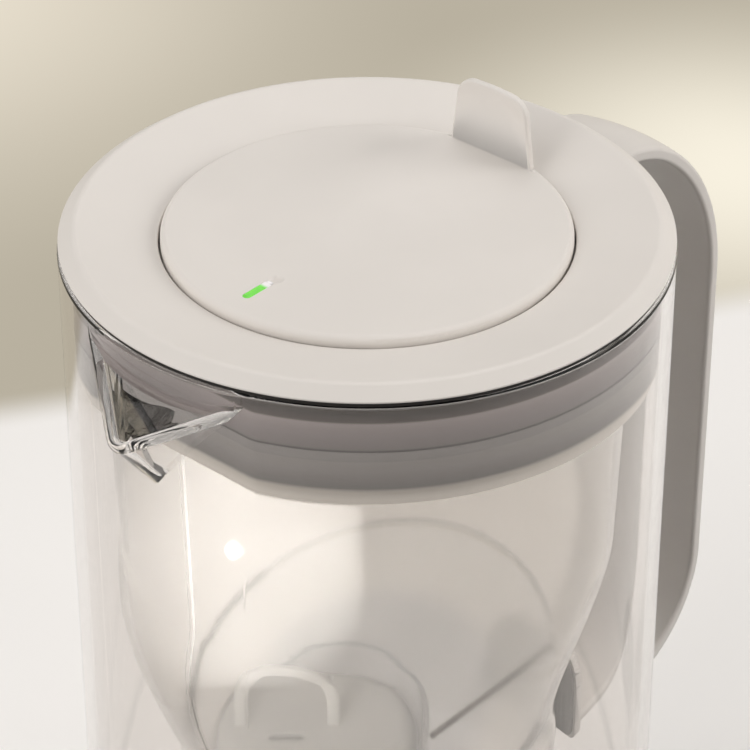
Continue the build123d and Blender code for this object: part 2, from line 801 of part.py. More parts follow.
def battery_door_seal():
    """Ring that keeps water out of the battery's place."""
    low = capsule_inner_z - door_seal_thickness
    return ring(door_r - door_play, door_r - door_lip, low, capsule_inner_z, cell_x)


def flap_screws():
    """Screws that hold the cup to the disc's bosses."""
    screws = []
    for place in flap_screw_places():
        head = Cylinder(flap_screw_head_r - flap_screw_head_play, flap_screw_head_height, align=BOTTOM)
        shank = Cylinder(flap_screw_r, flap_screw_length, align=BOTTOM)
        screws.append(place * Pos(0, 0, capsule_low_z) * (head + shank))
    return Compound(children=[s.solid() for s in screws])


def handle_upper_pad():
    """Bonding pad between the strap's upper foot and the glass."""
    return foot_plate(upper_foot_z, upper_foot_height, False, jug_r, pad_r, pad_margin)


def handle_lower_pad():
    """Bonding pad between the strap's lower foot and the glass."""
    return foot_plate(lower_foot_z, lower_foot_height, True, jug_r, pad_r, pad_margin)


pieces = [
    glass_jug,
    handle_strap,
    handle_upper_pad,
    handle_lower_pad,
    funnel,
    funnel_skirt,
    funnel_floor,
    funnel_collar,
    collar_seal,
    cartridge_body,
    cartridge_cap,
    cartridge_pull_ring,
    cartridge_seal,
    cartridge_top_mesh,
    cartridge_bottom_mesh,
    carbon_granulate,
    resin_beads,
    lid_cover,
    lid_frame,
    lid_seal,
    lid_screws,
    hinge_pin,
    flap_cover,
    flap_base,
    flap_seal,
    light_guide,
    indicator_led,
    circuit_board,
    battery_contact,
    coin_cell,
    battery_door,
    battery_door_seal,
    flap_screws,
]

os.makedirs("parts", exist_ok=True)
for piece in pieces:
    export_step(piece(), f"parts/{piece.__name__}.step")
    print(piece.__name__)
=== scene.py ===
"""Water filter pitcher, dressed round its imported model. Sizes are millimetres until a mesh is made."""
import math

import bmesh
import bpy
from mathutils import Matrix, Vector


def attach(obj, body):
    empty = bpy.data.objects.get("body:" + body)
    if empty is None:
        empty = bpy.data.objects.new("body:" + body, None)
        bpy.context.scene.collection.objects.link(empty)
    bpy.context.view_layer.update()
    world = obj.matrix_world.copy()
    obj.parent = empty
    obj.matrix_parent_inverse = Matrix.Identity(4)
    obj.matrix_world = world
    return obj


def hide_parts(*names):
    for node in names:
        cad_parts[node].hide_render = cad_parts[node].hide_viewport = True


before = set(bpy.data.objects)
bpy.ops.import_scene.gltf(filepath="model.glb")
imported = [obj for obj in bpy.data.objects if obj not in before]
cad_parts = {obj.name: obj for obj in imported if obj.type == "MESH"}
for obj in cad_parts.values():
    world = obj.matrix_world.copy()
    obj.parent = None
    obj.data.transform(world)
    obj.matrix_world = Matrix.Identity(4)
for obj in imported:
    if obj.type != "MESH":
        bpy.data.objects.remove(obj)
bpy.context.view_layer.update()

# Camera, floor and lights.
# The camera stands in front of the spout's side and looks down on the lid. The floor is a plain
# pale table that ends in a soft beige distance. Four softboxes and a dim studio light it evenly.
MM = 0.001
CAMERA_PLACE = (-521.1, -463.3, 670.4)
CAMERA_LOOK = (0.622, 0.550, -0.557)
LENS = 161.3
NEAR_CLIP = 50.0
# Light crosses many walls of glass and clear plastic before it comes out again.
CLEAR_BOUNCES = 64

scene = bpy.context.scene
scene.view_settings.view_transform = "Standard"
camera = bpy.data.objects.new("camera", bpy.data.cameras.new("camera"))
camera.data.lens = LENS
camera.data.clip_start = NEAR_CLIP * MM
camera.location = Vector(CAMERA_PLACE) * MM
camera.rotation_mode = "QUATERNION"
camera.rotation_quaternion = Vector(CAMERA_LOOK).to_track_quat("-Z", "Y")
scene.collection.objects.link(camera)
scene.camera = camera
scene.cycles.max_bounces = CLEAR_BOUNCES
scene.cycles.transmission_bounces = CLEAR_BOUNCES
scene.cycles.glossy_bounces = CLEAR_BOUNCES


def paint(red, green, blue):
    """Colour of a paint chip, given as screen values from 0 to 255, for a shader."""
    chips = []
    for chip in (red, green, blue):
        share = chip / 255
        chips.append(share / 12.92 if share <= 0.04045 else ((share + 0.055) / 1.055) ** 2.4)
    return (*chips, 1.0)


def new_finish(name, **sockets):
    """Material with one Principled shader whose sockets are set by name."""
    finish = bpy.data.materials.new(name)
    finish.use_nodes = True
    shader = finish.node_tree.nodes["Principled BSDF"]
    for socket, value in sockets.items():
        shader.inputs[socket.replace("_", " ")].default_value = value
    return finish, finish.node_tree, shader


def place_of(tree):
    """Object coordinates, in metres from the middle of the jug's foot."""
    return tree.nodes.new("ShaderNodeTexCoord").outputs["Object"]


def math_node(tree, operation, first, second):
    """One step of arithmetic between two sockets or numbers."""
    node = tree.nodes.new("ShaderNodeMath")
    node.operation = operation
    for index, value in enumerate((first, second)):
        if isinstance(value, (int, float)):
            node.inputs[index].default_value = value
        else:
            tree.links.new(value, node.inputs[index])
    return node.outputs[0]


def ranged(tree, value, from_low, from_high, to_low=0.0, to_high=1.0, kind="SMOOTHSTEP"):
    """Value carried from one range to another."""
    node = tree.nodes.new("ShaderNodeMapRange")
    node.interpolation_type = kind
    tree.links.new(value, node.inputs["Value"])
    limits = {"From Min": from_low, "From Max": from_high, "To Min": to_low, "To Max": to_high}
    for socket, number in limits.items():
        node.inputs[socket].default_value = number
    return node.outputs["Result"]


def noise(tree, scale, detail, stretch=(1.0, 1.0, 1.0)):
    """Noise on the object's own coordinates, with its scale in waves per metre."""
    mapping = tree.nodes.new("ShaderNodeMapping")
    mapping.inputs["Scale"].default_value = stretch
    tree.links.new(place_of(tree), mapping.inputs["Vector"])
    node = tree.nodes.new("ShaderNodeTexNoise")
    node.inputs["Scale"].default_value = scale
    node.inputs["Detail"].default_value = detail
    tree.links.new(mapping.outputs["Vector"], node.inputs["Vector"])
    return node.outputs["Fac"]


NOISE_LOW, NOISE_HIGH = 0.3, 0.7


def blotches(tree, scale, detail, low=0.0, high=1.0):
    """Soft blotches whose value runs from a low to a high one."""
    return ranged(tree, noise(tree, scale, detail), NOISE_LOW, NOISE_HIGH, low, high)


# A Mix node's colour sockets share their names with other sockets of it, so they go by their numbers.
FIRST_COLOUR, SECOND_COLOUR, MIXED_COLOUR = 6, 7, 2


def mixed(tree, share, first, second):
    """Colour between two colours or sockets."""
    node = tree.nodes.new("ShaderNodeMix")
    node.data_type = "RGBA"
    tree.links.new(share, node.inputs["Factor"])
    for index, value in ((FIRST_COLOUR, first), (SECOND_COLOUR, second)):
        if isinstance(value, tuple):
            node.inputs[index].default_value = value
        else:
            tree.links.new(value, node.inputs[index])
    return node.outputs[MIXED_COLOUR]


# Line on the floor where the table ends, as a point and the way across it, in metres.
TABLE_EDGE = (0.237, 0.2073)
TABLE_ACROSS = (0.546, 0.838)
TABLE_SOFTNESS = 0.012
floor_finish, floor_tree, floor_shader = new_finish("table_top", Roughness=0.55)
floor_place = floor_tree.nodes.new("ShaderNodeSeparateXYZ")
floor_tree.links.new(place_of(floor_tree), floor_place.inputs[0])
reach = []
for axis in (0, 1):
    from_edge = math_node(floor_tree, "SUBTRACT", floor_place.outputs[axis], TABLE_EDGE[axis])
    reach.append(math_node(floor_tree, "MULTIPLY", from_edge, TABLE_ACROSS[axis]))
beyond = math_node(floor_tree, "ADD", reach[0], reach[1])
beyond_mask = ranged(floor_tree, beyond, -TABLE_SOFTNESS, TABLE_SOFTNESS)


def glow_spot(x, y, radius):
    """Soft round patch on the floor, 1 at its middle."""
    node = floor_tree.nodes.new("ShaderNodeVectorMath")
    node.operation = "DISTANCE"
    floor_tree.links.new(place_of(floor_tree), node.inputs[0])
    node.inputs[1].default_value = (x, y, 0)
    return ranged(floor_tree, node.outputs["Value"], 0, radius, 1, 0)


# Bright places in the distance: x, y and radius in metres, and their colour.
FAR_GLOWS = ((0.43, 0.187, 0.17, paint(250, 243, 226)), (0.30, 0.56, 0.26, paint(236, 227, 210)))
FAR_PATCH_SHARE = 0.12
FAR_WAVES, NEAR_WAVES = 6, 9
far_colour = paint(184, 176, 159)
for glow_x, glow_y, glow_radius, glow_colour in FAR_GLOWS:
    glow = glow_spot(glow_x, glow_y, glow_radius)
    far_colour = mixed(floor_tree, glow, far_colour, glow_colour)
far_patches = blotches(floor_tree, FAR_WAVES, 1, 0, FAR_PATCH_SHARE)
far_colour = mixed(floor_tree, far_patches, far_colour, paint(214, 206, 188))
near_tone = noise(floor_tree, NEAR_WAVES, 2)
near_colour = mixed(floor_tree, near_tone, paint(243, 240, 237), paint(246, 243, 240))
floor_tree.links.new(near_colour, floor_shader.inputs["Base Color"])
far_glow = floor_tree.nodes.new("ShaderNodeEmission")
floor_tree.links.new(far_colour, far_glow.inputs["Color"])
floor_mix = floor_tree.nodes.new("ShaderNodeMixShader")
floor_tree.links.new(beyond_mask, floor_mix.inputs[0])
floor_tree.links.new(floor_shader.outputs[0], floor_mix.inputs[1])
floor_tree.links.new(far_glow.outputs[0], floor_mix.inputs[2])
floor_tree.links.new(floor_mix.outputs[0], floor_tree.nodes["Material Output"].inputs["Surface"])

FLOOR_HALF = 6.0
floor_mesh = bpy.data.meshes.new("floor")
floor_turns = [(-1, -1), (1, -1), (1, 1), (-1, 1)]
floor_mesh.from_pydata([(FLOOR_HALF * x, FLOOR_HALF * y, 0) for x, y in floor_turns], [], [(0, 1, 2, 3)])
floor_mesh.materials.append(floor_finish)
floor = bpy.data.objects.new("floor", floor_mesh)
scene.collection.objects.link(floor)
floor.visible_diffuse = False


WARM_WHITE = (1.0, 0.99, 0.975)


def softbox(name, place, aim, width, height, power):
    """Area light at a place in millimetres, turned to a point, that reflections leave out."""
    lamp = bpy.data.lights.new(name, "AREA")
    lamp.shape = "RECTANGLE"
    lamp.size, lamp.size_y = width * MM, height * MM
    lamp.energy, lamp.color = power, WARM_WHITE
    box = bpy.data.objects.new(name, lamp)
    box.location = Vector(place) * MM
    box.rotation_mode = "QUATERNION"
    box.rotation_quaternion = (Vector(aim) - Vector(place)).to_track_quat("-Z", "Y")
    box.visible_glossy = False
    scene.collection.objects.link(box)
    return box


softbox("front_softbox", (-900, 300, 1250), (0, 0, 200), width=1500, height=1100, power=8.5)
softbox("back_softbox", (450, 550, 1400), (0, 0, 240), width=1200, height=1000, power=6.8)
softbox("left_softbox", (-1300, -60, 520), (40, 0, 250), width=600, height=500, power=6.0)
softbox("right_softbox", (900, -1000, 700), (0, 0, 200), width=900, height=900, power=15.0)

# A narrow lamp over the camera puts a soft bright patch on the funnel's wall alone.
PATCH_SPREAD = math.radians(2.6)
patch_lamp = softbox("patch_lamp", (-560, -470, 745), (-62, -13, 190), width=24, height=26, power=2.0)
patch_lamp.data.spread = PATCH_SPREAD
patch_pieces = bpy.data.collections.new("patch_pieces")
patch_lamp.light_linking.receiver_collection = patch_pieces

# The light that frosted walls let through is made by a lamp for the funnel's floor and the cartridge.
inner_lamp = softbox("inner_lamp", (-900, -300, 620), (-10, 0, 108), width=300, height=300, power=4.5)
inner_pieces = bpy.data.collections.new("inner_pieces")
inner_shades = bpy.data.collections.new("inner_shades")
inner_lamp.light_linking.receiver_collection = inner_pieces
inner_lamp.light_linking.blocker_collection = inner_shades

# The studio round the table lights it softly. Glass and polished parts see it brighter than it lights.
STUDIO_STRENGTH = 0.9
STUDIO_LIGHT = paint(131, 130, 129)
STUDIO_LOW, STUDIO_HIGH = paint(226, 219, 206), paint(236, 235, 233)
STUDIO_HIGH_FROM = 0.9
world = bpy.data.worlds.new("studio")
world.use_nodes = True
scene.world = world
world_tree = world.node_tree
sky = world_tree.nodes["Background"]
direction = world_tree.nodes.new("ShaderNodeSeparateXYZ")
world_tree.links.new(world_tree.nodes.new("ShaderNodeTexCoord").outputs["Generated"], direction.inputs[0])
height_mask = ranged(world_tree, direction.outputs["Z"], 0.0, STUDIO_HIGH_FROM)
seen_colour = mixed(world_tree, height_mask, STUDIO_LOW, STUDIO_HIGH)
rays = world_tree.nodes.new("ShaderNodeLightPath")
seen = math_node(world_tree, "MAXIMUM", rays.outputs["Is Glossy Ray"], rays.outputs["Is Transmission Ray"])
seen = math_node(world_tree, "MAXIMUM", seen, rays.outputs["Is Camera Ray"])
world_tree.links.new(mixed(world_tree, seen, STUDIO_LIGHT, seen_colour), sky.inputs["Color"])
sky.inputs["Strength"].default_value = STUDIO_STRENGTH


# Glass jug.
# One blown cylinder of clear glass with a heavy base. Its wall is pulled out under the rim into a
# trough with a thick rounded lip, which pours the filtered water.
JUG_R = 75.3
GLASS_WALL = 2.8
JUG_HEIGHT = 243.8
JUG_INNER_R = JUG_R - GLASS_WALL
BASE_THICKNESS = 7.0
FOOT_ROUND = 7.0
CAVITY_ROUND = 9.0
RIM_ROUND = 1.1
TURN_STEPS = 256
GLASS_STEPS = 384
FINE_ARC = 8
# How far a cutter passes what it cuts.
CUTTER_REACH = 20
# Points nearer than this many metres become one.
SHELL_MERGE = 1e-7
# Edges that turn by more than this many degrees stay crisp.
SHARP_ANGLE = 32


def rounded(corners, steps=6):
    """Closed outline of radius and height, from corners that each give their own rounding."""
    outline = []
    for index, (r, z, rounding) in enumerate(corners):
        here = Vector((r, z))
        if rounding == 0:
            outline.append((r, z))
            continue
        before = Vector(corners[index - 1][:2]) - here
        after = Vector(corners[(index + 1) % len(corners)][:2]) - here
        half = before.angle(after) / 2
        middle = here + (before.normalized() + after.normalized()).normalized() * rounding / math.sin(half)
        reach = rounding / math.tan(half)
        start = here + before.normalized() * reach - middle
        end = here + after.normalized() * reach - middle
        sweep = math.pi - 2 * half
        for step in range(steps + 1):
            share = step / steps
            arm = (start * math.sin((1 - share) * sweep) + end * math.sin(share * sweep)) / math.sin(sweep)
            outline.append(tuple(middle + arm))
    return outline


def shell(name, loops, closed=True):
    """Closed surface through loops of points in millimetres, each with as many points as the next."""
    form = bmesh.new()
    rows = [[form.verts.new(Vector(point) * MM) for point in loop] for loop in loops]
    pairs = list(zip(rows, rows[1:]))
    if closed:
        pairs.append((rows[-1], rows[0]))
    else:
        form.faces.new(rows[0])
        form.faces.new(rows[-1])
    for low, high in pairs:
        for index in range(len(low)):
            after = (index + 1) % len(low)
            form.faces.new((low[index], low[after], high[after], high[index]))
    bmesh.ops.remove_doubles(form, verts=form.verts, dist=SHELL_MERGE)
    bmesh.ops.recalc_face_normals(form, faces=form.faces)
    mesh = bpy.data.meshes.new(name)
    form.to_mesh(mesh)
    form.free()
    piece = bpy.data.objects.new(name, mesh)
    scene.collection.objects.link(piece)
    return piece


def turned(name, outline, x=0.0, steps=TURN_STEPS):
    """Shell turned about an upright axis from a closed outline of radius and height."""
    loops = []
    for r, z in outline:
        turns = [2 * math.pi * step / steps for step in range(steps)]
        loops.append([(x + r * math.cos(turn), r * math.sin(turn), z) for turn in turns])
    return shell(name, loops)


def combine(base, tool, operation):
    """Exact union, difference or intersection of two closed shells. The tool is used up."""
    change = base.modifiers.new("combine", "BOOLEAN")
    change.operation = operation
    change.solver = "EXACT"
    change.object = tool
    graph = bpy.context.evaluated_depsgraph_get()
    mesh = bpy.data.meshes.new_from_object(base.evaluated_get(graph))
    base.modifiers.clear()
    base.data = mesh
    bpy.data.objects.remove(tool)
    return base


def finished(piece, body, slot, material, *nodes, sharp=SHARP_ANGLE):
    """Shades a piece evenly, gives it its material and says what it rides on and stands for."""
    mesh = piece.data
    mesh.materials.clear()
    mesh.materials.append(material)
    mesh.polygons.foreach_set("material_index", [0] * len(mesh.polygons))
    mesh.shade_smooth()
    mesh.set_sharp_from_angle(angle=math.radians(sharp))
    even = piece.modifiers.new("even_shading", "WEIGHTED_NORMAL")
    even.keep_sharp = True
    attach(piece, body)
    if nodes:
        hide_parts(*nodes)
    return piece


# The spout's trough lies on a plane that slopes down and out from the glass.
SPOUT_DROP = 7.3
SPOUT_SLOPE = math.radians(37.2)
SPOUT_REACH = 18.4
SPOUT_HALF_ANGLE = math.radians(47.6)
SPOUT_ROOT_HALF = 26.0
SPOUT_BACK = 6.0
SPOUT_TIP_R = 4.8
SPOUT_DEPTH = 19.7
SPOUT_FOOT_HALF = 4.2
SPOUT_FOOT_R = 2.2
SPOUT_WALL = 2.2
LIP_R = 1.5
SPOUT_APEX = SPOUT_REACH + SPOUT_TIP_R * (1 / math.sin(SPOUT_HALF_ANGLE) - 1)
SPOUT_ORIGIN = Vector((-JUG_INNER_R, 0, JUG_HEIGHT - SPOUT_DROP))
SPOUT_OUT = Vector((-math.cos(SPOUT_SLOPE), 0, -math.sin(SPOUT_SLOPE)))
SPOUT_UP = Vector((-math.sin(SPOUT_SLOPE), 0, math.cos(SPOUT_SLOPE)))


def on_spout(out, aside, depth=0.0):
    """Point on the spout's plane, or at a depth under it."""
    return SPOUT_ORIGIN + SPOUT_OUT * out + Vector((0, aside, 0)) - SPOUT_UP * depth


def tip_arc(apex, half_angle, radius, steps=20):
    """Rounded tip of a wedge that points outwards, as points from one side to the other."""
    middle = apex - radius / math.sin(half_angle)
    turn = math.pi / 2 - half_angle
    arc = []
    for step in range(steps + 1):
        angle = -turn + 2 * turn * step / steps
        arc.append((middle + radius * math.cos(angle), radius * math.sin(angle)))
    return arc


def spout_form(wall, levels=14):
    """Trough of the spout from its lip to its foot, taken in by a wall."""
    loops = []
    for level in range(levels + 1):
        depth = (SPOUT_DEPTH - wall) * level / levels
        share = depth / SPOUT_DEPTH
        half = SPOUT_ROOT_HALF + (SPOUT_FOOT_HALF - SPOUT_ROOT_HALF) * share - wall
        tip_r = (SPOUT_TIP_R + (SPOUT_FOOT_R - SPOUT_TIP_R) * share) * (1 - wall / (2 * SPOUT_TIP_R))
        apex = SPOUT_APEX - (wall / math.sin(SPOUT_HALF_ANGLE) + share * SPOUT_FOOT_R / 2)
        root = apex - half / math.tan(SPOUT_HALF_ANGLE)
        plan = [(root - SPOUT_BACK, -half), (root, -half)]
        plan += tip_arc(apex, SPOUT_HALF_ANGLE, tip_r)
        plan += [(root, half), (root - SPOUT_BACK, half)]
        loops.append([on_spout(out, aside, depth) for out, aside in plan])
    return shell("spout", loops, closed=False)


def tube(name, path, radius, up, steps=20):
    """Round bar along a flat path of points, with capped ends."""
    loops = []
    for index, point in enumerate(path):
        along = path[min(index + 1, len(path) - 1)] - path[max(index - 1, 0)]
        side = along.cross(up).normalized()
        turns = [2 * math.pi * step / steps for step in range(steps)]
        loops.append([point + (side * math.cos(turn) + up * math.sin(turn)) * radius for turn in turns])
    return shell(name, loops, closed=False)


lip_apex = SPOUT_APEX - SPOUT_WALL / 2 / math.sin(SPOUT_HALF_ANGLE)
lip_half = SPOUT_ROOT_HALF - SPOUT_WALL / 2
lip_root = lip_apex - lip_half / math.tan(SPOUT_HALF_ANGLE)
lip_turn = tip_arc(lip_apex, SPOUT_HALF_ANGLE, SPOUT_TIP_R - SPOUT_WALL / 2)
lip_plan = [(lip_root, -lip_half), *lip_turn, (lip_root, lip_half)]
lip = tube("lip", [on_spout(out, aside) for out, aside in lip_plan], LIP_R, SPOUT_UP)
cavity = turned("cavity", rounded([
    (0, BASE_THICKNESS, 0),
    (JUG_INNER_R, BASE_THICKNESS, CAVITY_ROUND),
    (JUG_INNER_R, JUG_HEIGHT + CUTTER_REACH, 0),
    (0, JUG_HEIGHT + CUTTER_REACH, 0),
], FINE_ARC), steps=GLASS_STEPS)
beak = combine(spout_form(0.0), lip, "UNION")
beak = combine(beak, cavity, "DIFFERENCE")
jug = turned("jug_glass", rounded([
    (0, 0, 0),
    (JUG_R, 0, FOOT_ROUND),
    (JUG_R, JUG_HEIGHT, RIM_ROUND),
    (JUG_INNER_R, JUG_HEIGHT, RIM_ROUND),
    (JUG_INNER_R, BASE_THICKNESS, CAVITY_ROUND),
    (0, BASE_THICKNESS, 0),
], FINE_ARC), steps=GLASS_STEPS)
jug = combine(jug, beak, "UNION")
jug = combine(jug, spout_form(SPOUT_WALL), "DIFFERENCE")


def bumped(tree, shader, height, strength, distance):
    """Raises a surface by a height, over a distance in metres."""
    bump = tree.nodes.new("ShaderNodeBump")
    bump.inputs["Strength"].default_value = strength
    bump.inputs["Distance"].default_value = distance
    tree.links.new(height, bump.inputs["Height"])
    tree.links.new(bump.outputs[0], shader.inputs["Normal"])


# Blown glass is never quite even: its waves are wide, and longer up the wall than round it.
GLASS_TINT = (0.905, 0.885, 0.87, 1)
GLASS_WAVES = 22
GLASS_STRETCH = (1, 1, 0.5)
glass_finish, glass_tree, glass_shader = new_finish(
    "clear_glass", Base_Color=GLASS_TINT, Roughness=0.0, IOR=1.47, Transmission_Weight=1.0)
glass_swell = noise(glass_tree, GLASS_WAVES, 1, GLASS_STRETCH)
bumped(glass_tree, glass_shader, glass_swell, strength=0.004, distance=0.0004)
finished(jug, "jug", "jug_glass", glass_finish, "glass_jug")
jug.visible_shadow = False
jug.visible_diffuse = False


# Handle.
# One moulded strap of satin warm-white plastic that runs from a foot under the rim to a foot low on
# the jug. Both feet are bonded to the glass through thin grey pads.
TONE_WAVES, GLOSS_WAVES = 24.0, 80.0
DARKER_TONE = 0.965
GLOSSIER, DULLER = 0.04, 0.05
GRAIN_STRENGTH = 0.35
SOLID_MERGE = 1e-6


def plastic(name, colour, roughness, grain=2200, depth=0.00002):
    """Moulded plastic: fine even grain, and slight broad changes of tone and gloss."""
    finish, tree, shader = new_finish(name, IOR=1.5)
    darker = tuple(chip * DARKER_TONE for chip in colour[:3]) + (1.0,)
    tone = mixed(tree, blotches(tree, TONE_WAVES, 3), colour, darker)
    tree.links.new(tone, shader.inputs["Base Color"])
    rough = blotches(tree, GLOSS_WAVES, 4, roughness - GLOSSIER, roughness + DULLER)
    tree.links.new(rough, shader.inputs["Roughness"])
    bumped(tree, shader, noise(tree, grain, 2), GRAIN_STRENGTH, depth)
    return finish


def from_frame(name, node):
    """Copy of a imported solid's surface, with its loose triangles joined up."""
    form = bmesh.new()
    form.from_mesh(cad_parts[node].data)
    bmesh.ops.remove_doubles(form, verts=form.verts, dist=SOLID_MERGE)
    mesh = bpy.data.meshes.new(name)
    form.to_mesh(mesh)
    form.free()
    mesh.transform(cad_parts[node].matrix_world)
    piece = bpy.data.objects.new(name, mesh)
    scene.collection.objects.link(piece)
    return piece


def dressed(name, node, body, slot, material):
    """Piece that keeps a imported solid's shape."""
    return finished(from_frame(name, node), body, slot, material, node)


handle_plastic = plastic("handle_plastic", paint(214, 208, 202), roughness=0.42)
pad_rubber = plastic("pad_rubber", paint(140, 137, 132), roughness=0.6)
dressed("handle", "handle_strap", "jug", "handle_plastic", handle_plastic)
dressed("upper_pad", "handle_upper_pad", "jug", "bond", pad_rubber)
dressed("lower_pad", "handle_lower_pad", "jug", "bond", pad_rubber)


# Funnel.
# A clear moulded cup that hangs in the glass by its ribbed collar. Its leaning body draws in to a
# sloped floor, and the cartridge stands in a well in that floor.
LID_Z = 245.0
COLLAR_R = 72.1
COLLAR_WALL = 1.8
COLLAR_FLAT = 67.5
COLLAR_LOW_Z = 215.3
FUNNEL_WALL = 1.8
FUNNEL_STEPS = 288
WALL_ROWS = 52
BODY_TOP_R = 65.0
BODY_LOW_R = 49.0
BODY_DROP = 156.0
CUP_DRAFT = 0.03
SKIRT_DRAFT = 0.04
SHOULDER_TOP = 56.0
SHOULDER_LOW = 121.0
BODY_LEAN = 5.6
FLOOR_Z = 107.5
FLOOR_SLOPE = math.radians(20.3)
FLOOR_THICKNESS = 1.8
WELL_X = -20.0
WELL_R = 27.9
WELL_STEPS = 192
SEAT_Z = 87.0
SLEEVE_LOW_Z = 59.4
SLEEVE_R = 26.4
MOULD_ROUND = 0.3
SEAT_ROUND = 0.5
SLAB_HALF = 90.0
# The flat is cut where the collar faces the spout, and its two ends are blended over half a millimetre.
FLAT_FACING = 0.5
FLAT_BLEND = 0.5


def flatted_loop(radius, flat, z):
    """Level loop of one radius with a flat towards the spout, or none where flat is 0."""
    loop = []
    for step in range(FUNNEL_STEPS):
        turn = 2 * math.pi * step / FUNNEL_STEPS
        reach = radius
        facing = -math.cos(turn)
        if flat and facing > FLAT_FACING:
            chord = flat / facing
            blend = max(FLAT_BLEND - abs(radius - chord), 0)
            reach = min(radius, chord) - blend * blend / 2
        loop.append((reach * math.cos(turn), reach * math.sin(turn), z))
    return loop


def body_loop(drop, inset, steps=FUNNEL_STEPS):
    """Level loop of the leaning body at a drop below the collar."""
    share = min(max((drop - SHOULDER_TOP) / (SHOULDER_LOW - SHOULDER_TOP), 0.0), 1.0)
    blend = share * share * (3 - 2 * share)
    cup_r = BODY_TOP_R - CUP_DRAFT * drop
    skirt_r = BODY_LOW_R + SKIRT_DRAFT * (BODY_DROP - drop)
    radius = cup_r + (skirt_r - cup_r) * blend - inset
    lean = -4 * BODY_LEAN * share * (1 - share)
    turns = [2 * math.pi * step / steps for step in range(steps)]
    level = COLLAR_LOW_Z - drop
    return [(lean + radius * math.cos(turn), radius * math.sin(turn), level) for turn in turns]


def tilted_slab(thickness):
    """Slab whose top is the funnel's sloped floor."""
    along = Vector((math.cos(FLOOR_SLOPE), 0, math.sin(FLOOR_SLOPE)))
    up = Vector((-math.sin(FLOOR_SLOPE), 0, math.cos(FLOOR_SLOPE)))
    half = SLAB_HALF
    corners = ((-half, -half), (half, -half), (half, half), (-half, half))
    loops = []
    for level in (0.0, -thickness):
        middle = Vector((0, 0, FLOOR_Z)) + up * level
        loops.append([middle + along * out + Vector((0, aside, 0)) for out, aside in corners])
    return shell("slab", loops, closed=False)


drops = [BODY_DROP * row / WALL_ROWS for row in range(WALL_ROWS + 1)]
outer_wall = [body_loop(drop, 0.0) for drop in drops]
inner_wall = [body_loop(drop, FUNNEL_WALL) for drop in reversed(drops)]
funnel = shell("funnel_body", outer_wall + inner_wall)
mid_wall = [body_loop(drop, FUNNEL_WALL / 2) for drop in drops]
floor_slab = tilted_slab(FLOOR_THICKNESS)
funnel_floor = combine(shell("floor_core", mid_wall, closed=False), floor_slab, "INTERSECT")
well = turned("well", rounded([
    (SLEEVE_R, SLEEVE_LOW_Z, MOULD_ROUND),
    (SLEEVE_R + FUNNEL_WALL, SLEEVE_LOW_Z, MOULD_ROUND),
    (SLEEVE_R + FUNNEL_WALL, SEAT_Z - FUNNEL_WALL, 0),
    (WELL_R + FUNNEL_WALL, SEAT_Z - FUNNEL_WALL, SEAT_ROUND),
    (WELL_R + FUNNEL_WALL, FLOOR_Z + CUTTER_REACH, 0),
    (WELL_R, FLOOR_Z + CUTTER_REACH, 0),
    (WELL_R, SEAT_Z, MOULD_ROUND),
    (SLEEVE_R, SEAT_Z, MOULD_ROUND),
]), WELL_X, WELL_STEPS)
# The well's wall ends inside the floor: what stands over the middle of the floor's thickness is cut off.
CUT_RISE = 60.0
above = combine(tilted_slab(-CUT_RISE), tilted_slab(FLOOR_THICKNESS / 2), "UNION")
well = combine(well, above, "DIFFERENCE")
bore = turned("bore", [
    (0, SEAT_Z), (WELL_R, SEAT_Z), (WELL_R, FLOOR_Z + CUTTER_REACH), (0, FLOOR_Z + CUTTER_REACH),
], WELL_X, WELL_STEPS)
funnel_floor = combine(funnel_floor, bore, "DIFFERENCE")
funnel_floor = combine(funnel_floor, well, "UNION")

# One slim rib stands on the wall under the spout, from the collar down to the floor.
RIB_ROWS = 60
RIB_ROOT, RIB_ROOT_HALF = 0.6, 0.65
RIB_CREST, RIB_CREST_HALF = 0.7, 0.55
RIB_WALL_STEPS = 64
rib_loops = []
for row in range(RIB_ROWS + 1):
    drop = BODY_DROP * row / RIB_ROWS
    z = COLLAR_LOW_Z - drop
    if z < FLOOR_Z:
        break
    wall_x = min(point[0] for point in body_loop(drop, 0.0, RIB_WALL_STEPS))
    root_x, crest_x = wall_x + RIB_ROOT, wall_x - RIB_CREST
    rib_loops.append([
        (root_x, -RIB_ROOT_HALF, z), (crest_x, -RIB_CREST_HALF, z),
        (crest_x, RIB_CREST_HALF, z), (root_x, RIB_ROOT_HALF, z),
    ])
funnel = combine(funnel, shell("rib", rib_loops, closed=False), "UNION")


BLOOM_WAVES = 30


def frosted(name, colour, clearness, low, high):
    """Clear moulded plastic with a fine bloom that softens what stands behind it."""
    finish, tree, shader = new_finish(name, Base_Color=colour, IOR=1.49, Transmission_Weight=clearness)
    tree.links.new(blotches(tree, BLOOM_WAVES, 2, low, high), shader.inputs["Roughness"])
    return finish, tree, shader


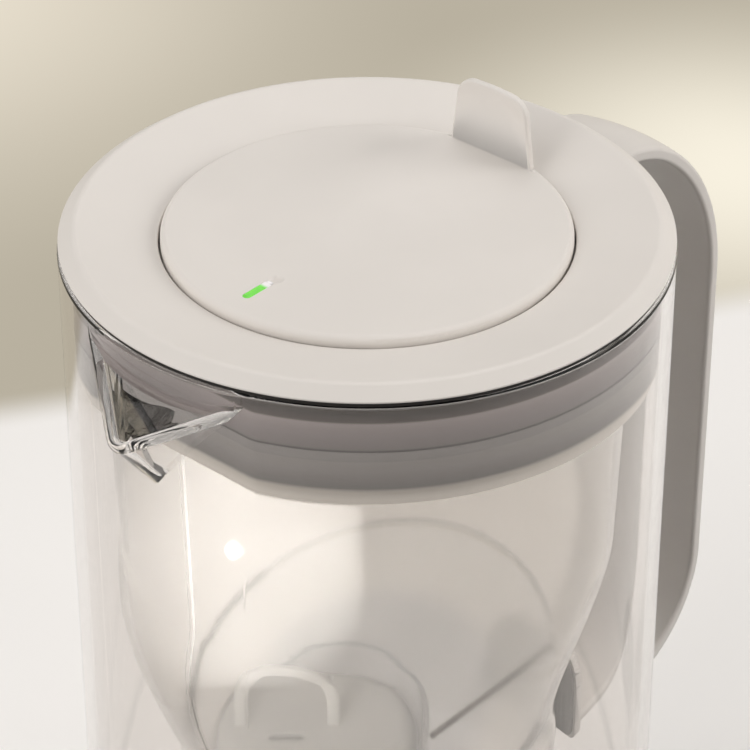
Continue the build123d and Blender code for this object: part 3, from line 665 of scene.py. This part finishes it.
# The floor is a cooler grey than the wall, and paler from a ring round its middle outwards, in metres.
WALL_TINT = (0.96, 0.942, 0.915, 1)
FLOOR_TINT = (0.84, 0.85, 0.875, 1)
FLOOR_EDGE_TINT = (0.98, 0.97, 0.96, 1)
FLOOR_CENTRE = (-0.005, -0.004, 0.108)
TINT_INNER_R, TINT_OUTER_R = 0.030, 0.039
wall_finish = frosted("frosted_wall", WALL_TINT, clearness=0.87, low=0.05, high=0.08)[0]
floor_plastic, tray_tree, tray_shader = frosted(
    "frosted_floor", FLOOR_TINT, clearness=0.78, low=0.10, high=0.16)
tray_reach = tray_tree.nodes.new("ShaderNodeVectorMath")
tray_reach.operation = "DISTANCE"
tray_tree.links.new(place_of(tray_tree), tray_reach.inputs[0])
tray_reach.inputs[1].default_value = FLOOR_CENTRE
tray_edge = ranged(tray_tree, tray_reach.outputs["Value"], TINT_INNER_R, TINT_OUTER_R)
tray_colour = mixed(tray_tree, tray_edge, FLOOR_TINT, FLOOR_EDGE_TINT)
tray_tree.links.new(tray_colour, tray_shader.inputs["Base Color"])
finished(funnel, "funnel", "funnel_plastic", wall_finish, "funnel", "funnel_skirt")
patch_pieces.objects.link(funnel)
finished(funnel_floor, "funnel", "funnel_plastic", floor_plastic, "funnel_floor")
inner_pieces.objects.link(funnel_floor)


def maker_tree(name, **sizes):
    """Geometry Nodes tree with one named input for each size, and its two end nodes."""
    tree = bpy.data.node_groups.new(name, "GeometryNodeTree")
    tree.interface.new_socket(name="Geometry", in_out="INPUT", socket_type="NodeSocketGeometry")
    for size, value in sizes.items():
        kind = "NodeSocketInt" if isinstance(value, int) else "NodeSocketFloat"
        tree.interface.new_socket(name=size.replace("_", " "), in_out="INPUT", socket_type=kind)
    tree.interface.new_socket(name="Geometry", in_out="OUTPUT", socket_type="NodeSocketGeometry")
    return tree, tree.nodes.new("NodeGroupInput").outputs, tree.nodes.new("NodeGroupOutput")


def tree_step(tree, kind, **sockets):
    """Node of a tree, with its inputs set or linked by name."""
    node = tree.nodes.new(kind)
    for name, value in sockets.items():
        socket = node.inputs[name.replace("_", " ")]
        if isinstance(value, bpy.types.NodeSocket):
            tree.links.new(value, socket)
        else:
            socket.default_value = value
    return node


def grown(name, base, tree_ends, geometry, material, **sizes):
    """Turns a base object into the plain mesh that a tree makes from it, at the sizes given."""
    tree, _, last = tree_ends
    real = tree_step(tree, "GeometryNodeRealizeInstances", Geometry=geometry)
    coated = tree_step(tree, "GeometryNodeSetMaterial", Geometry=real.outputs[0], Material=material)
    tree.links.new(coated.outputs[0], last.inputs[0])
    maker = base.modifiers.new(name, "NODES")
    maker.node_group = tree
    for item in tree.interface.items_tree:
        if item.in_out == "INPUT" and item.name.replace(" ", "_") in sizes:
            maker[item.identifier] = sizes[item.name.replace(" ", "_")]
    graph = bpy.context.evaluated_depsgraph_get()
    mesh = bpy.data.meshes.new_from_object(base.evaluated_get(graph))
    base.modifiers.clear()
    base.data = mesh
    base.name = name
    return base


def line_object(name, paths):
    """Object of plain edges along paths of points in millimetres."""
    points, edges = [], []
    for path in paths:
        edges += [(len(points) + step, len(points) + step + 1) for step in range(len(path) - 1)]
        points += [Vector(point) * MM for point in path]
    mesh = bpy.data.meshes.new(name)
    mesh.from_pydata(points, edges, [])
    line = bpy.data.objects.new(name, mesh)
    scene.collection.objects.link(line)
    return line


# A thin bead lies along the floor's low edge against the wall, and a branch of it runs to the well.
# Both are painted dark: a painted shade line where the floor's edge looks dark.
# The bead's start and end are shares of the turn. The branch's are places on the floor.
EDGE_BEAD_R = 0.8
EDGE_BEAD_STEPS = 144
EDGE_BEAD_START, EDGE_BEAD_END = 0.2, 0.8
EDGE_BEAD_SIDES = 12
BRANCH_START, BRANCH_END = (33.0, -40.0), (-6.0, -27.2)
BRANCH_STEPS = 12
BRANCH_RISE = 0.3
SETTLE_ROUNDS = 12


def on_floor(x, y, above=0.0):
    """Point over the sloped floor."""
    return (x, y, FLOOR_Z + x * math.tan(FLOOR_SLOPE) + above)


edge_path = []
for step in range(round(EDGE_BEAD_STEPS * EDGE_BEAD_START), round(EDGE_BEAD_STEPS * EDGE_BEAD_END) + 1):
    z = FLOOR_Z
    for _ in range(SETTLE_ROUNDS):
        edge = body_loop(COLLAR_LOW_Z - z, FUNNEL_WALL + EDGE_BEAD_R, EDGE_BEAD_STEPS)[step]
        z = on_floor(edge[0], edge[1])[2]
    edge_path.append((edge[0], edge[1], z))
start, end = Vector(BRANCH_START), Vector(BRANCH_END)
branch_path = []
for step in range(BRANCH_STEPS + 1):
    branch_path.append(on_floor(*start.lerp(end, step / BRANCH_STEPS), BRANCH_RISE))
edge_bead_sizes = {"Bead_Radius": EDGE_BEAD_R * MM}
edge_bead_ends = maker_tree("bead_along_path", **edge_bead_sizes)
edge_bead_tree, edge_bead_given, _ = edge_bead_ends
edge_bead_curve = tree_step(edge_bead_tree, "GeometryNodeMeshToCurve", Mesh=edge_bead_given["Geometry"])
edge_bead_profile = tree_step(
    edge_bead_tree, "GeometryNodeCurvePrimitiveCircle", Resolution=EDGE_BEAD_SIDES, Radius=edge_bead_given["Bead Radius"])
bead = tree_step(
    edge_bead_tree, "GeometryNodeCurveToMesh", Curve=edge_bead_curve.outputs[0],
    Profile_Curve=edge_bead_profile.outputs[0], Fill_Caps=True)
# Painted shade: the bead's dark colour stands in for the shade along the floor's edge and its branch.
edge_shade_finish = plastic("weld_line", paint(96, 89, 84), roughness=0.5)
weld_line = line_object("weld", [edge_path, branch_path])
weld = grown("floor_weld", weld_line, edge_bead_ends, bead.outputs[0], edge_shade_finish, **edge_bead_sizes)
finished(weld, "funnel", "funnel_plastic", edge_shade_finish)

# The collar has two raised bands and a lip that hangs on the glass rim. Drops are under the lid's edge.
COLLAR_STEP = 0.9
COLLAR_DROP = 29.7
COLLAR_FLOOR_R = 63.2
LOW_BAND_DROPS = (25.7, 17.2)
HIGH_BAND_DROP = 14.6
LIP_DROP = 1.2
HANGING_R = JUG_R - 0.9


def collar_corner(inset, drop):
    """Corner of the collar's outline, so far in from its bands and so far under the lid's edge."""
    return (COLLAR_R - inset, COLLAR_FLAT - inset, LID_Z - drop)


collar_outline = [
    (COLLAR_FLOOR_R, 0, LID_Z - COLLAR_DROP), collar_corner(COLLAR_STEP, COLLAR_DROP),
    collar_corner(COLLAR_STEP, LOW_BAND_DROPS[0]), collar_corner(0, LOW_BAND_DROPS[0]),
    collar_corner(0, LOW_BAND_DROPS[1]), collar_corner(COLLAR_STEP, LOW_BAND_DROPS[1]),
    collar_corner(COLLAR_STEP, HIGH_BAND_DROP), collar_corner(0, HIGH_BAND_DROP),
    collar_corner(0, LIP_DROP), (HANGING_R, 0, LID_Z - LIP_DROP), (HANGING_R, 0, LID_Z),
    collar_corner(COLLAR_WALL, 0), collar_corner(COLLAR_WALL, COLLAR_DROP - COLLAR_WALL),
    (COLLAR_FLOOR_R, 0, LID_Z - (COLLAR_DROP - COLLAR_WALL)),
]
collar = shell("funnel_collar_ring", [flatted_loop(*corner) for corner in collar_outline])
# Painted light and shade of the collar's bands, each from a height under the lid's edge down to the next:
# a painted shadow gap under the lid, a painted highlight of the glass rim, painted shade in bands and
# grooves.
COLLAR_PAINTED_LIGHT_AND_SHADE = (
    (34.0, paint(220, 212, 202)), (28.6, paint(220, 212, 202)), (25.6, paint(190, 182, 172)),
    (24.7, paint(118, 113, 110)), (23.2, paint(124, 119, 116)), (20.0, paint(144, 138, 134)),
    (16.4, paint(150, 144, 140)), (15.9, paint(84, 79, 77)), (14.3, paint(84, 79, 77)),
    (13.8, paint(128, 121, 119)), (9.0, paint(152, 142, 140)), (6.9, paint(166, 155, 153)),
    (6.3, paint(84, 75, 70)), (4.0, paint(62, 54, 49)), (3.1, paint(92, 84, 78)),
    (2.8, paint(190, 184, 178)), (2.1, paint(190, 184, 178)), (1.8, paint(30, 27, 25)),
    (0.0, paint(30, 27, 25)),
)
# The collar's plastic is nearly opaque and takes its colour from the painted light and shade above.
collar_finish, collar_tree, collar_shader = frosted(
    "frosted_collar", paint(178, 168, 165), clearness=0.06, low=0.28, high=0.36)
collar_shader.inputs["Specular IOR Level"].default_value = 0.2
collar_place = collar_tree.nodes.new("ShaderNodeSeparateXYZ")
collar_tree.links.new(place_of(collar_tree), collar_place.inputs[0])
# The painted light and shade is laid on by height, from the lowest band up to the lid's edge.
LOWEST_PAINTED_BAND = COLLAR_PAINTED_LIGHT_AND_SHADE[0][0]
collar_low = (LID_Z - LOWEST_PAINTED_BAND) * MM
rise = ranged(collar_tree, collar_place.outputs["Z"], collar_low, LID_Z * MM, kind="LINEAR")
painted_band_ramp = collar_tree.nodes.new("ShaderNodeValToRGB")
collar_tree.links.new(rise, painted_band_ramp.inputs[0])
for index, (drop, tone) in enumerate(COLLAR_PAINTED_LIGHT_AND_SHADE):
    spot = 1 - drop / LOWEST_PAINTED_BAND
    stop = painted_band_ramp.color_ramp.elements[index] if index < 2 else painted_band_ramp.color_ramp.elements.new(spot)
    stop.position, stop.color = spot, tone
collar_tree.links.new(painted_band_ramp.outputs["Color"], collar_shader.inputs["Base Color"])
finished(collar, "funnel", "funnel_plastic", collar_finish, "funnel_collar")
silicone = plastic("clear_silicone", paint(138, 133, 130), roughness=0.4)
dressed("collar_seal_ring", "collar_seal", "funnel", "silicone", silicone)


# Cartridge.
# A white moulded can of carbon granules and resin beads under a domed cap with slots, vents and a
# standing pull ring. A soft ring seals its flange in the well.
GRAIN_DEPTH = 0.0004
cartridge_plastic = plastic("cartridge_plastic", paint(226, 226, 224), roughness=0.45)
mesh_fabric = plastic("mesh_fabric", paint(214, 214, 208), roughness=0.8)
carbon = plastic("carbon", paint(30, 30, 30), roughness=0.9, grain=700, depth=GRAIN_DEPTH)
resin = plastic("resin", paint(196, 150, 86), roughness=0.5, grain=900, depth=GRAIN_DEPTH)
for part in ("cartridge_body", "cartridge_cap", "cartridge_pull_ring"):
    filter_name = part.replace("cartridge", "filter")
    shape = dressed(filter_name, part, "cartridge", "cartridge_plastic", cartridge_plastic)
    inner_pieces.objects.link(shape)
    inner_shades.objects.link(shape)
dressed("filter_seal", "cartridge_seal", "cartridge", "silicone", silicone)
dressed("top_screen", "cartridge_top_mesh", "cartridge", "screen", mesh_fabric)
dressed("bottom_screen", "cartridge_bottom_mesh", "cartridge", "screen", mesh_fabric)

# The two beds are heaps of grains, packed as far as the can's slightly conical wall.
CAN_LOW_Z, CAN_LOW_R, CAN_DRAFT = 43.2, 22.0, 2.2 / 45
BED_MARGIN = 0.75
BED_STEPS = 96
BEDS_MEET_Z = 67.6
GRAINS_PER_MM2 = 0.28
GRAIN_SHARP_ANGLE = 60


def grain_bed(name, low, high, grain_r, seed, slot, material, node):
    """Bed between two heights: a core with grains of one size scattered all over it."""
    low, high = low + BED_MARGIN, high - BED_MARGIN
    low_r, high_r = (CAN_LOW_R + (z - CAN_LOW_Z) * CAN_DRAFT - BED_MARGIN for z in (low, high))
    core = turned("core", [(0, low), (low_r, low), (high_r, high), (0, high)], WELL_X, BED_STEPS)
    sizes = {"Grain_Radius": grain_r * MM, "Grain_Density": GRAINS_PER_MM2 / MM / MM, "Seed": seed}
    ends = maker_tree(name + "_grains", **sizes)
    tree, given, _ = ends
    spots = tree_step(
        tree, "GeometryNodeDistributePointsOnFaces", Mesh=given["Geometry"],
        Density=given["Grain Density"], Seed=given["Seed"])
    grain = tree_step(tree, "GeometryNodeMeshIcoSphere", Radius=given["Grain Radius"], Subdivisions=1)
    turn = tree_step(tree, "FunctionNodeRandomValue", Seed=given["Seed"])
    turn.data_type = "FLOAT_VECTOR"
    turn.inputs["Max"].default_value = (math.pi, math.pi, math.pi)
    grains = tree_step(
        tree, "GeometryNodeInstanceOnPoints", Points=spots.outputs["Points"],
        Instance=grain.outputs["Mesh"], Rotation=turn.outputs["Value"])
    heap = tree_step(tree, "GeometryNodeJoinGeometry", Geometry=given["Geometry"])
    tree.links.new(grains.outputs[0], heap.inputs[0])
    bed = grown(name, core, ends, heap.outputs[0], material, **sizes)
    finished(bed, "cartridge", slot, material, node, sharp=GRAIN_SHARP_ANGLE)


grain_bed(
    "carbon_bed", low=BEDS_MEET_Z, high=87.6, grain_r=0.7, seed=3,
    slot="carbon", material=carbon, node="carbon_granulate")
grain_bed(
    "resin_bed", low=45.2, high=BEDS_MEET_Z, grain_r=0.55, seed=5,
    slot="resin", material=resin, node="resin_beads")


# Lid.
# A dished cover of satin warm-white plastic, screwed to an under-frame whose plug fits the collar.
# The dish falls to a round well that takes the flap.
LID_R = 75.0
CROWN_R = 71.2
CROWN = 3.3
DISH_R = 50.8
DISH_DROP = 1.0
LEDGE_Z = 240.0
INLET_R = 46.0
WEB_Z = 237.0
COVER_WALL = 2
EDGE_HEIGHT = 0.5
EDGE_ROUND = 0.25
CROWN_ROUND = 2.2
DISH_ROUND = 0.5
LEDGE_ROUND = 0.3
INLET_ROUND = 0.4
lid_plastic = plastic("lid_plastic", paint(221, 215, 209), roughness=0.44)
cover = turned("lid_top", rounded([
    (LID_R - COVER_WALL, LID_Z, 0),
    (LID_R, LID_Z, EDGE_ROUND),
    (LID_R, LID_Z + EDGE_HEIGHT, EDGE_ROUND),
    (CROWN_R, LID_Z + CROWN, CROWN_ROUND),
    (DISH_R, LID_Z - DISH_DROP, DISH_ROUND),
    (DISH_R, LEDGE_Z, LEDGE_ROUND),
    (INLET_R, LEDGE_Z, INLET_ROUND),
    (INLET_R, WEB_Z, 0),
    (DISH_R + COVER_WALL, WEB_Z, 0),
    (DISH_R + COVER_WALL, LID_Z - DISH_DROP - COVER_WALL, 0),
    (CROWN_R - COVER_WALL / 2, LID_Z + CROWN - COVER_WALL, DISH_ROUND),
], FINE_ARC))

# A notch in the well's edge makes room for the flap's hinge eye.
NOTCH_HALF = 6.2
NOTCH_START, NOTCH_END = 48.5, 55.9
NOTCH_RISE = 5
notch_loops = []
for z in (WEB_Z, LID_Z + NOTCH_RISE):
    notch_corners = [(NOTCH_START, -1), (NOTCH_END, -1), (NOTCH_END, 1), (NOTCH_START, 1)]
    notch_loops.append([(x, side * NOTCH_HALF, z) for x, side in notch_corners])
cover = combine(cover, shell("notch", notch_loops, closed=False), "DIFFERENCE")
finished(cover, "lid", "lid_plastic", lid_plastic, "lid_cover")
dressed("lid_under_frame", "lid_frame", "lid", "lid_plastic", lid_plastic)
dressed("lid_seal_ring", "lid_seal", "lid", "silicone", silicone)
STEEL_WAVES = 300
STEEL_GREY = paint(190, 190, 188)
steel, steel_tree, steel_shader = new_finish("bright_steel", Base_Color=STEEL_GREY, Metallic=1.0)
steel_wear = blotches(steel_tree, STEEL_WAVES, 3, low=0.2, high=0.35)
steel_tree.links.new(steel_wear, steel_shader.inputs["Roughness"])

# The cross recess is as long and as wide as these shares of the head's radius, and the shank starts at
# this share of the head's height.
RECESS_LENGTH, RECESS_WIDTH = 1.2, 0.25
SHANK_START = 0.6
SCREW_SIDES = 32


def screw_ring(name, body, node, count, ring_r, turn, seat, head_r, head_height, shank_r, reach):
    """Cross-head screws on a circle, driven up from a seat."""
    sizes = {
        "Count": count, "Ring_Radius": ring_r * MM, "Turn": math.radians(turn), "Seat_Height": seat * MM,
        "Head_Radius": head_r * MM, "Head_Height": head_height * MM, "Shank_Radius": shank_r * MM,
        "Reach": reach * MM,
    }
    ends = maker_tree(name + "_ring", **sizes)
    tree, given, _ = ends

    def bar(radius, height):
        """Upright round bar that starts at the seat."""
        round_bar = tree_step(
            tree, "GeometryNodeMeshCylinder", Vertices=SCREW_SIDES, Radius=radius, Depth=height)
        lift = tree_step(tree, "ShaderNodeCombineXYZ", Z=math_node(tree, "MULTIPLY", height, 0.5))
        return tree_step(
            tree, "GeometryNodeTransform", Geometry=round_bar.outputs["Mesh"], Translation=lift.outputs[0])

    head = bar(given["Head Radius"], given["Head Height"]).outputs[0]
    slot_length = math_node(tree, "MULTIPLY", given["Head Radius"], RECESS_LENGTH)
    slot_width = math_node(tree, "MULTIPLY", given["Head Radius"], RECESS_WIDTH)
    for long_way, short_way in ((slot_length, slot_width), (slot_width, slot_length)):
        slot_size = tree_step(tree, "ShaderNodeCombineXYZ", X=long_way, Y=short_way, Z=given["Head Height"])
        slot_bar = tree_step(tree, "GeometryNodeMeshCube", Size=slot_size.outputs[0])
        cut = tree_step(tree, "GeometryNodeMeshBoolean", Mesh_1=head, Mesh_2=slot_bar.outputs["Mesh"])
        head = cut.outputs["Mesh"]
    shank = bar(given["Shank Radius"], given["Reach"])
    shank_start = math_node(tree, "MULTIPLY", given["Head Height"], SHANK_START)
    raised = tree_step(tree, "ShaderNodeCombineXYZ", Z=shank_start)
    shank = tree_step(
        tree, "GeometryNodeTransform", Geometry=shank.outputs[0], Translation=raised.outputs[0])
    screw = tree_step(tree, "GeometryNodeJoinGeometry", Geometry=head)
    tree.links.new(shank.outputs[0], screw.inputs[0])
    ring = tree_step(tree, "GeometryNodeMeshCircle", Vertices=given["Count"], Radius=given["Ring Radius"])
    ring_turn = tree_step(tree, "ShaderNodeCombineXYZ", Z=given["Turn"])
    ring_lift = tree_step(tree, "ShaderNodeCombineXYZ", Z=given["Seat Height"])
    spots = tree_step(
        tree, "GeometryNodeTransform", Geometry=ring.outputs["Mesh"], Rotation=ring_turn.outputs[0],
        Translation=ring_lift.outputs[0])
    screws = tree_step(
        tree, "GeometryNodeInstanceOnPoints", Points=spots.outputs[0], Instance=screw.outputs[0])
    ring_piece = grown(name, line_object(name, []), ends, screws.outputs[0], steel, **sizes)
    finished(ring_piece, body, "steel", steel, node)


screw_ring(
    "lid_screw_set", "lid", "lid_screws", count=6, ring_r=60.0, turn=30, seat=234.0,
    head_r=2.2, head_height=1.2, shank_r=1.1, reach=6.65)
dressed("flap_pin", "hinge_pin", "lid", "steel", steel)


# Flap.
# A round disc of the lid's plastic with a fin to press back and a green light near its front edge.
# It swings on a steel pin behind the fin. A sealed cup under it houses the timer and its cell.
dressed("flap_disc", "flap_cover", "flap", "lid_plastic", lid_plastic)
dressed("flap_cup", "flap_base", "flap", "lid_plastic", lid_plastic)
dressed("flap_seal_ring", "flap_seal", "flap", "silicone", silicone)
screw_ring(
    "flap_screw_set", "flap", "flap_screws", count=4, ring_r=29.7, turn=45, seat=234.2,
    head_r=1.8, head_height=1.1, shank_r=0.9, reach=4.1)

# The light's window glows green up to a place towards the disc's middle, in metres, and whitish past it as
# a painted glint.
LIGHT_END_LOW, LIGHT_END_HIGH = -0.0373, -0.0359
LIGHT_WAVES = 500
LIGHT_NOISE_LOW, LIGHT_NOISE_HIGH = 0.35, 0.65
light_finish, light_tree, light_shader = new_finish("green_light", Roughness=0.2, Emission_Strength=0.5)
light_place = light_tree.nodes.new("ShaderNodeSeparateXYZ")
light_tree.links.new(place_of(light_tree), light_place.inputs[0])
glint_share = ranged(light_tree, light_place.outputs["X"], LIGHT_END_LOW, LIGHT_END_HIGH)
light_noise = noise(light_tree, LIGHT_WAVES, 2)
light_glow = ranged(light_tree, light_noise, LIGHT_NOISE_LOW, LIGHT_NOISE_HIGH)
light_tones = mixed(light_tree, light_glow, paint(92, 206, 50), paint(116, 224, 68))
# Past the green, a whitish grey emission and a whitish surface make a painted glint.
light_emitted = mixed(light_tree, glint_share, light_tones, paint(150, 148, 150))
light_surface = mixed(light_tree, glint_share, paint(92, 170, 66), paint(226, 222, 222))
light_tree.links.new(light_emitted, light_shader.inputs["Emission Color"])
light_tree.links.new(light_surface, light_shader.inputs["Base Color"])
dressed("light_window", "light_guide", "flap", "light_window", light_finish)
dressed("light_source", "indicator_led", "flap", "light_window", light_finish)
board_finish = plastic("board_lacquer", paint(40, 110, 66), roughness=0.35)
dressed("timer_board", "circuit_board", "flap", "board", board_finish)
dressed("cell_contact", "battery_contact", "flap", "steel", steel)
dressed("button_cell", "coin_cell", "flap", "cell_steel", steel)
dressed("cell_door", "battery_door", "flap", "lid_plastic", lid_plastic)
dressed("cell_door_seal", "battery_door_seal", "flap", "silicone", silicone)
